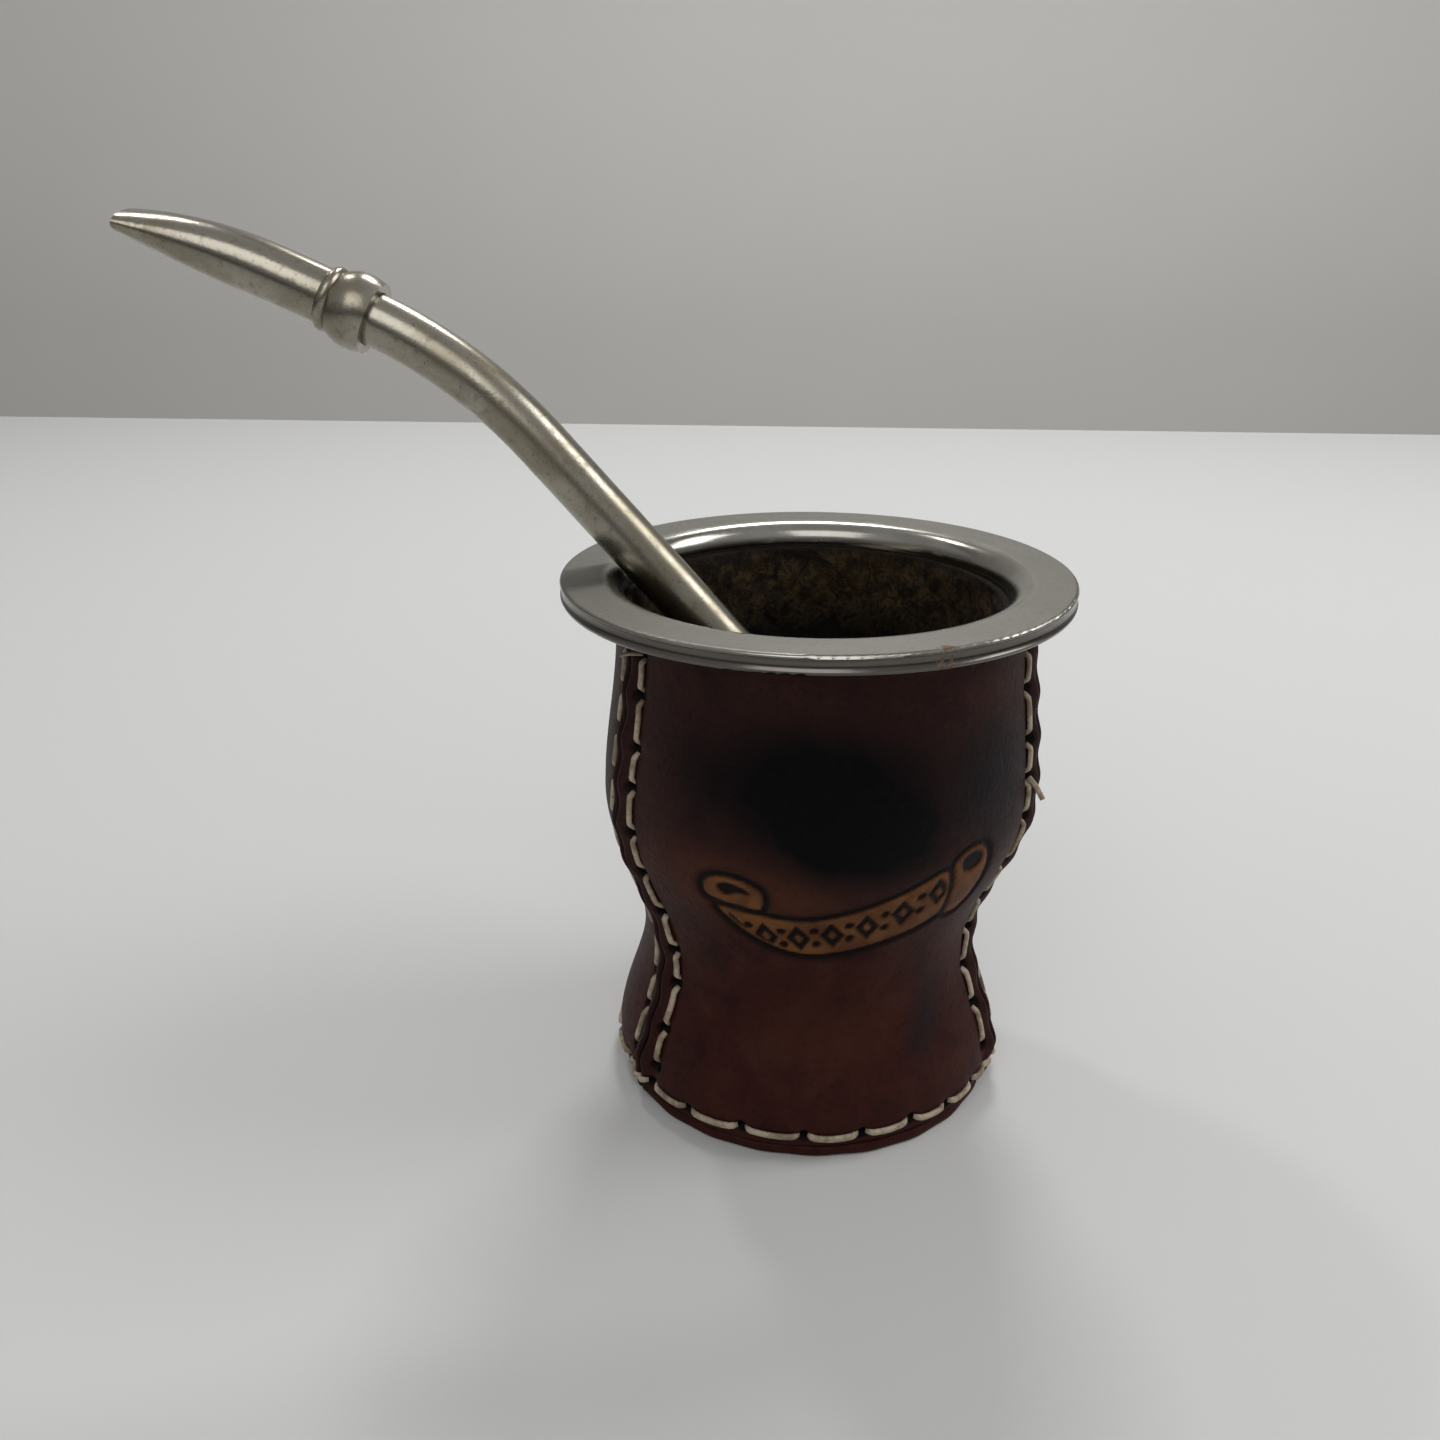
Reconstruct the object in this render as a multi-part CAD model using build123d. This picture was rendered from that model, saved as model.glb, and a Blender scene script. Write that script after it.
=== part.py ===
from build123d import *
import os
from math import cos, sin, tan, radians, degrees, pi, atan2, hypot, sqrt

# Leather-covered mate gourd with a steel rim and a bent metal straw resting in it.
# Millimetres, +Z up.  The origin is the centre of the sole's underside, on the gourd's axis.
# Azimuths are in degrees from the front, which faces -Y, and grow towards +X.

# ---------------------------------------------------------------- driving sizes
# gourd and leather outline: outer radius of the leather at four heights
HEM_Z, HEM_R = 5.0, 32.6
WAIST_Z, WAIST_R = 27.0, 27.8
BELLY_Z, BELLY_R = 53.0, 34.75
NECK_Z = 81.0             # the neck's radius follows from the rim's sleeve, below
HEM_TUCK = 1.1            # how far the hem pulls in where it meets the sole

SOLE_T = 2.0              # leather disc under the foot
LEATHER_T = 1.6           # side panels
COVER_GAP = 0.2           # between the leather and the calabash
GOURD_WALL = 3.4          # calabash wall at the belly and below
LIP_WALL = 1.8            # calabash wall at its lip
FLOOR_Z = 14.0            # bottom of the hollow
HOLLOW_LOW_Z = 31.0       # below this height the hollow rounds in to its floor

# steel rim, bent from one sheet: flat plate, rolled mouth, short sleeve, outer band
RIM_TOP_Z = 87.2
RIM_SHEET = 0.8
MOUTH_R = 30.15           # bore of the sleeve
RIM_W = 9.85              # from the sleeve's bore to the outer edge
MOUTH_ROLL = 3.2          # radius of the rolled mouth edge
SLEEVE_DEPTH = 3.9        # from the plate's top to the sleeve's lower edge
BAND_H = 3.1
BAND_BEAD = 0.75          # radius of the bead along the band's lower edge
BAND_DISH = 0.35          # how far the band is drawn in between its edge and its bead
EDGE_ROUND = 0.5          # outer edge of the plate
RIM_SEAT = 0.1            # clearance under and beside the rim

# seams between the three side panels
SEAM_AZIMUTHS = {"left": -59.0, "right": 75.0, "back": 188.0}
SEAM_SLOT = 0.3           # open line between two panels
ROW_OFFSET = 3.2          # stitch row to seam line
HOLE_D = 2.0
ROW_LOW_Z, ROW_HIGH_Z = 13.5, 77.0
ROW_PITCH = 7.3
HEM_HOLE_Z = 4.7
HEM_PITCH = 9.0
THREAD_W, THREAD_T = 1.1, 0.5
THREAD_LIFT = 0.25        # underside of a stitch above the leather at its holes
HEM_LIFT = 0.5            # the same on the hem, where the stitch bridges a rounder surface
THREAD_DIP = 0.9          # how deep a stitch enters its holes

# straw, in an upright plane through the gourd's axis
STRAW_HEADING = -94.0     # azimuth that the straw leans towards
STRAW_SLOPE = 47.6        # degrees above level, where it crosses the rim
TUBE_D = 8.3
TUBE_WALL = 0.6
STRAW_SEAT = 0.2          # straw to rim, and strainer to calabash
STRAIGHT_OUT = 23.0       # straight run from the rim's rolled edge to the bend
BEND_R = 75.0
BEND_ANGLE = 24.0
COLLAR_L = 8.0
COLLAR_D = 12.0
COLLAR_RING_D = 10.2
COLLAR_FIT = 0.08         # radial clearance of tube and mouthpiece in the collar
COLLAR_TUBE_IN = 5.0      # how far the tube enters the collar
MOUTHPIECE_D = 8.75
MOUTHPIECE_L = 32.2
MOUTHPIECE_BEND_R = 230.0
MOUTHPIECE_SOCKET = 2.4   # how far the mouthpiece enters the collar
FLAT_L = 22.0             # stretch over which the mouthpiece flattens
TIP_W, TIP_T = 11.2, 3.7
STRAINER_D = 11.0
STRAINER_L = 24.0
STRAINER_WALL = 0.8
STRAINER_HOLE_D = 1.6
STRAINER_RINGS, STRAINER_PER_RING = 3, 8

TAU = 2 * pi
RIM_R = MOUTH_R + RIM_W
SLEEVE_OUT_R = MOUTH_R + RIM_SHEET
NECK_R = SLEEVE_OUT_R + RIM_SEAT + LEATHER_T
PLATE_UNDER_Z = RIM_TOP_Z - RIM_SHEET
LIP_Z = RIM_TOP_Z - SLEEVE_DEPTH - RIM_SEAT


# ---------------------------------------------------------------- outlines
def blend(z, low, high):
    """Radius at height z on a half-cosine between two (z, r) stations."""
    share = (1 - cos(pi * (z - low[0]) / (high[0] - low[0]))) / 2
    return low[1] + (high[1] - low[1]) * share


def leather_r(z):
    """Outer radius of the leather cover at height z."""
    if z < HEM_Z:
        return HEM_R - HEM_TUCK * ((HEM_Z - z) / (HEM_Z - SOLE_T)) ** 2
    if z < WAIST_Z:
        return blend(z, (HEM_Z, HEM_R), (WAIST_Z, WAIST_R))
    if z < BELLY_Z:
        return blend(z, (WAIST_Z, WAIST_R), (BELLY_Z, BELLY_R))
    if z < NECK_Z:
        return blend(z, (BELLY_Z, BELLY_R), (NECK_Z, NECK_R))
    return NECK_R


def calabash_r(z):
    """Outer radius of the calabash at height z."""
    return leather_r(z) - LEATHER_T - COVER_GAP


def hollow_r(z):
    """Radius of the hollow at height z, above its rounded floor."""
    if z < BELLY_Z:
        return calabash_r(z) - GOURD_WALL
    return calabash_r(z) - blend(z, (BELLY_Z, GOURD_WALL), (LIP_Z, LIP_WALL))


def heights(low, high, steps):
    return [low + (high - low) * i / steps for i in range(steps + 1)]


def roll_under_z(r):
    """Height of the underside of the rolled mouth edge at radius r."""
    inner_roll = MOUTH_ROLL - RIM_SHEET
    return RIM_TOP_Z - MOUTH_ROLL + sqrt(inner_roll ** 2 - (MOUTH_R + MOUTH_ROLL - r) ** 2)


def surface_normal(point):
    """Outward normal of the leather cover at one of its surface points."""
    outward = Vector(point.X, point.Y, 0).normalized()
    step = 0.5
    slope = (leather_r(point.Z + step) - leather_r(point.Z - step)) / (2 * step)
    return (outward - Vector(0, 0, slope)).normalized()


def radial(azimuth, z, r):
    """Point at an azimuth, height and radius."""
    a = radians(azimuth)
    return Vector(r * sin(a), -r * cos(a), z)


# ---------------------------------------------------------------- gourd and cover
def hollow_face():
    """Half section of the hollow: up the wall from the rounded floor to the open lip."""
    low_r = hollow_r(HOLLOW_LOW_Z)
    wall = Spline([(hollow_r(z), z) for z in heights(HOLLOW_LOW_Z, LIP_Z, 8)])
    bowl = EllipticalCenterArc(
        (0, HOLLOW_LOW_Z), low_r, HOLLOW_LOW_Z - FLOOR_Z, start_angle=270, arc_size=90
    )
    over = 2.0
    lid = Polyline((hollow_r(LIP_Z), LIP_Z), (hollow_r(LIP_Z), LIP_Z + over), (0, LIP_Z + over), (0, FLOOR_Z))
    return make_face(Plane.XZ * (Curve() + [bowl, wall, lid]))


def make_gourd():
    side = Spline([(calabash_r(z), z) for z in heights(SOLE_T, LIP_Z, 16)])
    rest = Polyline((calabash_r(LIP_Z), LIP_Z), (0, LIP_Z), (0, SOLE_T), (calabash_r(SOLE_T), SOLE_T))
    body = revolve(make_face(Plane.XZ * (Curve() + [side, rest])), Axis.Z)
    hollow = revolve(hollow_face(), Axis.Z)
    return body - hollow


def make_sole():
    return extrude(Circle(leather_r(SOLE_T)), SOLE_T)


def seam_slots():
    """Thin upright walls that part the cover into its panels."""
    reach = 2 * RIM_R
    slots = []
    for azimuth in SEAM_AZIMUTHS.values():
        wall = Box(reach, SEAM_SLOT, 3 * RIM_TOP_Z, align=(Align.MIN, Align.CENTER, Align.CENTER))
        slots.append(Rot(0, 0, azimuth - 90) * wall)
    return slots


def row_azimuth(seam, side, z):
    """Azimuth of a stitch row: side -1 or +1 of its seam, at height z."""
    return SEAM_AZIMUTHS[seam] + side * degrees(ROW_OFFSET / leather_r(z))


def row_holes(seam, side):
    """Surface points of one stitch row's holes, from the bottom up."""
    spans = round((ROW_HIGH_Z - ROW_LOW_Z) / ROW_PITCH)
    rows = heights(ROW_LOW_Z, ROW_HIGH_Z, spans)
    return [radial(row_azimuth(seam, side, z), z, leather_r(z)) for z in rows]


def hem_holes():
    """Surface points of the hem's holes, once round from the middle of the front."""
    count = round(TAU * leather_r(HEM_HOLE_Z) / HEM_PITCH)
    return [radial(360 * (i + 0.5) / count, HEM_HOLE_Z, leather_r(HEM_HOLE_Z)) for i in range(count)]


def stitch_hole(point):
    """Drill through the leather, square to its surface."""
    outward = surface_normal(point)
    start = point - outward * (LEATHER_T + COVER_GAP / 2)
    return extrude(Plane(origin=start, z_dir=outward) * Circle(HOLE_D / 2), 2 * LEATHER_T)


def stitch_rows():
    return {f"{seam}_{name}": row_holes(seam, side)
            for seam in SEAM_AZIMUTHS for name, side in (("low", -1), ("high", 1))}


def make_cover():
    """The side panels, as a dictionary from panel name to solid."""
    z_list = heights(SOLE_T, NECK_Z, 18)
    outer = Spline([(leather_r(z), z) for z in z_list])
    inner = Spline([(leather_r(z) - LEATHER_T, z) for z in z_list])
    inner_top = NECK_R - LEATHER_T
    top = Polyline(
        (NECK_R, NECK_Z), (NECK_R, roll_under_z(NECK_R) - RIM_SEAT),
        (inner_top, roll_under_z(inner_top) - RIM_SEAT), (inner_top, NECK_Z))
    foot = Line((leather_r(SOLE_T) - LEATHER_T, SOLE_T), (leather_r(SOLE_T), SOLE_T))
    ring = revolve(make_face(Plane.XZ * (Curve() + [outer, inner, top, foot])), Axis.Z)
    points = [p for row in stitch_rows().values() for p in row] + hem_holes()
    ring = ring - seam_slots() - [stitch_hole(p) for p in points]
    names = ("front", "back_right", "back_left")
    marks = sorted(SEAM_AZIMUTHS.values())
    middles = [(marks[i] + (marks[i + 1] if i < 2 else marks[0] + 360)) / 2 for i in range(3)]
    panels = {}
    for name, middle in zip(names, middles):
        toward = radial(middle, 0, 1)
        panels["leather_" + name] = max(ring.solids(), key=lambda s: s.center().dot(toward))
    return panels


# ---------------------------------------------------------------- stitches
def make_stitch(start, end, lift):
    """Flat thread bridging two holes, with both ends turned down into the leather."""
    run = end - start
    length = run.length
    along = run.normalized()
    middle = (start + end) * 0.5
    outward = Vector(middle.X, middle.Y, 0).normalized()
    across = along.cross(outward).normalized()
    near, far = 0.15, length - 0.15
    top = lift + THREAD_T
    corner = THREAD_T * 0.7
    shape = Polyline(
        (near, -THREAD_DIP), (near, top - corner), (near + corner, top), (far - corner, top),
        (far, top - corner), (far, -THREAD_DIP), (far - THREAD_T, -THREAD_DIP), (far - THREAD_T, lift),
        (near + THREAD_T, lift), (near + THREAD_T, -THREAD_DIP), close=True)
    plane = Plane(origin=start, x_dir=along, z_dir=across)
    return extrude(plane * make_face(shape), THREAD_W / 2, both=True)


def make_row_thread(points):
    return [make_stitch(a, b, THREAD_LIFT) for a, b in zip(points, points[1:])]


def make_hem_thread():
    points = hem_holes()
    return [make_stitch(a, b, HEM_LIFT) for a, b in zip(points, points[1:] + points[:1])]


# ---------------------------------------------------------------- steel rim
def make_rim():
    """Half section of the bent sheet, turned about the axis."""
    top, under = RIM_TOP_Z, PLATE_UNDER_Z
    roll_r = MOUTH_R + MOUTH_ROLL
    sleeve_low = top - SLEEVE_DEPTH
    roll_low = top - MOUTH_ROLL
    band_low = top - BAND_H
    bead_z = band_low + BAND_BEAD
    edge_z = top - EDGE_ROUND
    dish_r = RIM_R - BAND_DISH
    bead_r = RIM_R - BAND_BEAD
    inside_r = bead_r - BAND_BEAD
    quarter = sqrt(0.5)
    inner_roll = MOUTH_ROLL - RIM_SHEET
    lines = [
        Line((MOUTH_R, sleeve_low), (MOUTH_R, roll_low)),
        ThreePointArc(
            (MOUTH_R, roll_low),
            (roll_r - MOUTH_ROLL * quarter, roll_low + MOUTH_ROLL * quarter),
            (roll_r, top)),
        Line((roll_r, top), (RIM_R - EDGE_ROUND, top)),
        ThreePointArc(
            (RIM_R - EDGE_ROUND, top),
            (RIM_R - EDGE_ROUND * (1 - quarter), top - EDGE_ROUND * (1 - quarter)),
            (RIM_R, edge_z)),
        ThreePointArc((RIM_R, edge_z), (dish_r, (edge_z + bead_z) / 2 + 0.15), (RIM_R, bead_z)),
        ThreePointArc((RIM_R, bead_z), (bead_r, band_low), (inside_r, bead_z)),
        Polyline((inside_r, bead_z), (inside_r, under), (roll_r, under)),
        ThreePointArc(
            (roll_r, under),
            (roll_r - inner_roll * quarter, roll_low + inner_roll * quarter),
            (SLEEVE_OUT_R, roll_low)),
        Polyline((SLEEVE_OUT_R, roll_low), (SLEEVE_OUT_R, sleeve_low), (MOUTH_R, sleeve_low)),
    ]
    return revolve(make_face(Plane.XZ * (Curve() + lines)), Axis.Z)


# ---------------------------------------------------------------- straw
# The straw is drawn in its own plane: x runs outward along its heading, y is height.
OUTWARD = radial(STRAW_HEADING, 0, 1)
STRAW_PLANE = Plane(origin=(0, 0, 0), x_dir=OUTWARD, z_dir=OUTWARD.cross(Vector(0, 0, 1)))
SLOPE = Vector(cos(radians(STRAW_SLOPE)), sin(radians(STRAW_SLOPE)))
LEVEL = STRAW_SLOPE - BEND_ANGLE


def straw_seat():
    """Point on the straw's centre line nearest to the rolled edge that it leans on."""
    roll = Vector(MOUTH_R + MOUTH_ROLL, RIM_TOP_Z - MOUTH_ROLL)
    lift = MOUTH_ROLL + TUBE_D / 2 + STRAW_SEAT
    return roll + Vector(-SLOPE.Y, SLOPE.X) * lift


def wall_gap(point):
    """Distance from a point of the straw's plane to the hollow's far wall or floor."""
    low_r, low_h = hollow_r(HOLLOW_LOW_Z), HOLLOW_LOW_Z - FLOOR_Z
    wall = [(-hollow_r(z), z) for z in heights(HOLLOW_LOW_Z, LIP_Z, 200)]
    turns = [pi / 2 * i / 100 for i in range(101)]
    bowl = [(-low_r * cos(t), HOLLOW_LOW_Z - low_h * sin(t)) for t in turns]
    return min(hypot(point.X - x, point.Y - z) for x, z in wall + bowl)


def straw_reach():
    """Length from the rim seat down to the centre of the strainer's round end."""
    clear = STRAINER_D / 2 + STRAW_SEAT
    short, long = 20.0, 200.0
    seat = straw_seat()
    reach = short
    step = 0.05
    while reach < long and wall_gap(seat - SLOPE * reach) > clear:
        reach += step
    return reach - step


def placed(curve):
    return STRAW_PLANE * curve


def section_plane(point, angle):
    """Plane square to the straw at a point of its centre line, with its y in the straw's plane."""
    origin = STRAW_PLANE.from_local_coords(Vector(point.X, point.Y, 0))
    along = STRAW_PLANE.from_local_coords(Vector(cos(radians(angle)), sin(radians(angle)), 0))
    return Plane(origin=origin, x_dir=STRAW_PLANE.z_dir, z_dir=along)


SEAT = straw_seat()
END_CENTRE = SEAT - SLOPE * straw_reach()
STRAINER_TOP = END_CENTRE + SLOPE * (STRAINER_L - STRAINER_D / 2)
BEND_START = SEAT + SLOPE * STRAIGHT_OUT


def arc_end(start, angle, radius, turn):
    """Where an arc that bends down from a slope by a turn ends."""
    a, b = radians(angle), radians(angle - turn)
    return start + Vector(radius * (sin(a) - sin(b)), radius * (cos(b) - cos(a)))


BEND_END = arc_end(BEND_START, STRAW_SLOPE, BEND_R, BEND_ANGLE)
LEVEL_DIR = Vector(cos(radians(LEVEL)), sin(radians(LEVEL)))
COLLAR_END = BEND_END + LEVEL_DIR * COLLAR_L
TUBE_END = BEND_END + LEVEL_DIR * COLLAR_TUBE_IN


def make_tube():
    """Straight run, bend, and the short end inside the collar."""
    middle = arc_end(BEND_START, STRAW_SLOPE, BEND_R, BEND_ANGLE / 2)
    path = Curve() + [
        Line(STRAINER_TOP, BEND_START),
        ThreePointArc(BEND_START, middle, BEND_END),
        Line(BEND_END, TUBE_END),
    ]
    ring = Circle(TUBE_D / 2) - Circle(TUBE_D / 2 - TUBE_WALL)
    return sweep(section_plane(STRAINER_TOP, STRAW_SLOPE) * ring, path=placed(path))


def turned(points, origin, angle):
    """Solid turned about the straw's centre line from (length, radius) points."""
    plane = section_plane(origin, angle)
    half = Plane(origin=plane.origin, x_dir=plane.z_dir, z_dir=-plane.x_dir)
    axis = Axis(plane.origin, plane.z_dir)
    return revolve(half * make_face(points), axis)


def make_collar():
    """Sleeve between tube and mouthpiece: a small ring, a groove and a larger bead."""
    tube_bore = TUBE_D / 2 + COLLAR_FIT
    mouth_bore = MOUTHPIECE_D / 2 + COLLAR_FIT
    bead, ring = COLLAR_D / 2, COLLAR_RING_D / 2
    step = COLLAR_L - MOUTHPIECE_SOCKET - 0.2
    ring_l = 1.7
    groove = COLLAR_L - ring_l
    outline = Curve() + [
        Polyline((0, tube_bore), (0, bead * 0.92)),
        Spline([(0, bead * 0.92), (COLLAR_L * 0.2, bead * 0.985), (COLLAR_L * 0.38, bead),
                (COLLAR_L * 0.6, bead * 0.93), (groove, ring * 0.93)]),
        ThreePointArc((groove, ring * 0.93), (groove + ring_l / 2, ring), (COLLAR_L, ring * 0.9)),
        Polyline((COLLAR_L, ring * 0.9), (COLLAR_L, mouth_bore), (step, mouth_bore), (step, tube_bore), (0, tube_bore)),
    ]
    return turned(outline, BEND_END, LEVEL)


def mouthpiece_size(left):
    """Width and thickness of the mouthpiece at a distance from its tip."""
    share = max(0.0, 1 - left / FLAT_L) ** 2
    width = MOUTHPIECE_D + (TIP_W - MOUTHPIECE_D) * share
    return width, MOUTHPIECE_D + (TIP_T - MOUTHPIECE_D) * share


def mouthpiece_loft(inset):
    """Loft from the socket to the flattened tip, smaller by an inset all round."""
    socket = COLLAR_END - LEVEL_DIR * MOUTHPIECE_SOCKET
    over = 0.5 if inset else 0.0
    stations = [(socket - LEVEL_DIR * over, LEVEL, MOUTHPIECE_L), (COLLAR_END, LEVEL, MOUTHPIECE_L)]
    for s in [MOUTHPIECE_L - FLAT_L] + heights(MOUTHPIECE_L - FLAT_L * 0.75, MOUTHPIECE_L, 4):
        turn = degrees(s / MOUTHPIECE_BEND_R)
        stations.append((arc_end(COLLAR_END, LEVEL, MOUTHPIECE_BEND_R, turn), LEVEL - turn, MOUTHPIECE_L - s))
    if inset:
        point, angle, left = stations[-1]
        forward = Vector(cos(radians(angle)), sin(radians(angle)))
        stations.append((point + forward * over, angle, left))
    sections = []
    for point, angle, left in stations:
        width, thick = mouthpiece_size(left)
        sections.append(section_plane(point, angle) * Ellipse(width / 2 - inset, thick / 2 - inset))
    return loft(sections)


def make_mouthpiece():
    return mouthpiece_loft(0.0) - mouthpiece_loft(TUBE_WALL)


def make_strainer():
    """Hollow bulb with a round closed end, drilled in rings; its neck butts on the tube."""
    r_out, r_tube = STRAINER_D / 2, TUBE_D / 2
    r_in, r_bore = r_out - STRAINER_WALL, TUBE_D / 2 - TUBE_WALL
    top = STRAINER_L - r_out
    swell = top * 0.55
    quarter = sqrt(0.5)
    outline = Curve() + [
        ThreePointArc((-r_out, 0), (-r_out * quarter, r_out * quarter), (0, r_out)),
        Line((0, r_out), (swell * 0.5, r_out)),
        Spline([(swell * 0.5, r_out), (swell * 1.1, (r_out + r_tube) / 2), (top, r_tube)],
               tangents=[(1, 0), (1, 0)]),
        Line((top, r_tube), (top, r_bore)),
        Spline([(top, r_bore), (swell * 1.1, (r_in + r_bore) / 2), (swell * 0.5, r_in)],
               tangents=[(-1, 0), (-1, 0)]),
        Line((swell * 0.5, r_in), (0, r_in)),
        ThreePointArc((0, r_in), (-r_in * quarter, r_in * quarter), (-r_in, 0)),
        Line((-r_in, 0), (-r_out, 0)),
    ]
    bulb = turned(outline, END_CENTRE, STRAW_SLOPE)
    pitch = 2.2 * STRAINER_HOLE_D
    drills = []
    for ring in range(STRAINER_RINGS):
        centre = END_CENTRE + SLOPE * (ring * pitch - 0.6)
        plane = section_plane(centre, STRAW_SLOPE)
        for i in range(STRAINER_PER_RING):
            a = TAU * (i + 0.5 * (ring % 2)) / STRAINER_PER_RING
            outward = plane.x_dir * cos(a) + plane.y_dir * sin(a)
            drill = Plane(origin=plane.origin, z_dir=outward) * Circle(STRAINER_HOLE_D / 2)
            drills.append(extrude(drill, 2 * r_out))
    return bulb - drills


# ---------------------------------------------------------------- write the nodes
def make_nodes():
    nodes = {"gourd": make_gourd(), "leather_sole": make_sole(), "steel_rim": make_rim()}
    nodes.update(make_cover())
    for name, points in stitch_rows().items():
        nodes["thread_" + name] = make_row_thread(points)
    nodes["thread_hem"] = make_hem_thread()
    nodes["straw_tube"] = make_tube()
    nodes["straw_collar"] = make_collar()
    nodes["straw_mouthpiece"] = make_mouthpiece()
    nodes["straw_strainer"] = make_strainer()
    return nodes


os.makedirs("parts", exist_ok=True)
for node_name, shape in make_nodes().items():
    solids = [s for item in (shape if isinstance(shape, list) else [shape]) for s in item.solids()]
    export_step(Compound(solids) if len(solids) > 1 else solids[0], f"parts/{node_name}.step")
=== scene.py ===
import math
import bpy
import numpy as np
from mathutils import Matrix, Vector


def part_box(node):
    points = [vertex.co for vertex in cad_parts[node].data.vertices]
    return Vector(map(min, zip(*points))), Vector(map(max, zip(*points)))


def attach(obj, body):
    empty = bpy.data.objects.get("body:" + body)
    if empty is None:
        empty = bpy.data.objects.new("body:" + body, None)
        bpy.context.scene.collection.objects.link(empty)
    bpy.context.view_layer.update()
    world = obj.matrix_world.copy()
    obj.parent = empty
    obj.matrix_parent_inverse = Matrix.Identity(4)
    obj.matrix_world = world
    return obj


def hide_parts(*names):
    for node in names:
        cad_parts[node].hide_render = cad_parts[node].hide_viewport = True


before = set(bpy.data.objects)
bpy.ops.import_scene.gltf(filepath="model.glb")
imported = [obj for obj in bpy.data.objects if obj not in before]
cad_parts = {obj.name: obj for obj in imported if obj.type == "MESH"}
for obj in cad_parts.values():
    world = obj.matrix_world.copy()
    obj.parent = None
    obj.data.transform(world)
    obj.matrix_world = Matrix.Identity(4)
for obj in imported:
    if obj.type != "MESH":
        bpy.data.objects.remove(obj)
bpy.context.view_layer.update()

MM = 0.001
TAU = 2 * math.pi

# ---------------------------------------------------------------- sizes taken from the frame
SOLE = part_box("leather_sole")
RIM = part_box("steel_rim")
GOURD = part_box("gourd")
SOLE_TOP = SOLE[1][2] / MM
RIM_TOP = RIM[1][2] / MM
RIM_LOW = RIM[0][2] / MM
LIP_Z = GOURD[1][2] / MM

# leather outline, millimetres: (height, radius) stations joined by half cosines
HEM, WAIST, BELLY, NECK = (5.0, 32.6), (27.0, 27.8), (53.0, 34.75), (81.0, 32.65)
HEM_TUCK = 1.1
LEATHER_TOP = 84.0
PANEL_T = 1.0
CALABASH_IN = 1.9           # calabash surface below the leather surface
WALL, LIP_WALL = 3.4, 1.8
FLOOR_Z, HOLLOW_LOW_Z = 14.0, 31.0

ROW_OFFSET = 3.2            # stitch row to seam line
HOLE_R = 0.95
HOLES_PER_ROW = 11
ROW_LOW_Z, ROW_HIGH_Z = 8.7, 79.5
HEM_HOLE_Z = 4.7
HEM_COUNT = 23
THREAD_W, THREAD_T = 1.15, 0.62
STITCH_INSET = 0.85         # from a hole's middle to the stitch's end


def srgb(r, g, b):
    """Linear colour from 0-255 display values."""
    def one(c):
        c = c / 255
        return c / 12.92 if c <= 0.04045 else ((c + 0.055) / 1.055) ** 2.4
    return (one(r), one(g), one(b), 1.0)


# ---------------------------------------------------------------- shader expressions
class Wire:
    """A node socket that Python arithmetic works on; every operator adds a Math node."""

    def __init__(self, sheet, socket):
        self.sheet = sheet
        self.socket = socket

    def _math(self, operation, *values):
        return self.sheet.node("ShaderNodeMath", {"operation": operation}, *values)

    def __add__(self, other):
        return self._math("ADD", self, other)

    def __radd__(self, other):
        return self._math("ADD", other, self)

    def __sub__(self, other):
        return self._math("SUBTRACT", self, other)

    def __rsub__(self, other):
        return self._math("SUBTRACT", other, self)

    def __mul__(self, other):
        return self._math("MULTIPLY", self, other)

    def __rmul__(self, other):
        return self._math("MULTIPLY", other, self)

    def __truediv__(self, other):
        return self._math("DIVIDE", self, other)

    def __pow__(self, other):
        return self._math("POWER", self, other)

    def clamp(self):
        return self.sheet.node("ShaderNodeClamp", {}, self)

    def step(self, low, high):
        """Smooth 0 to 1 as the value goes from low to high."""
        settings = {"interpolation_type": "SMOOTHSTEP"}
        return self.sheet.node("ShaderNodeMapRange", settings, self, low, high, 0.0, 1.0)


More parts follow.
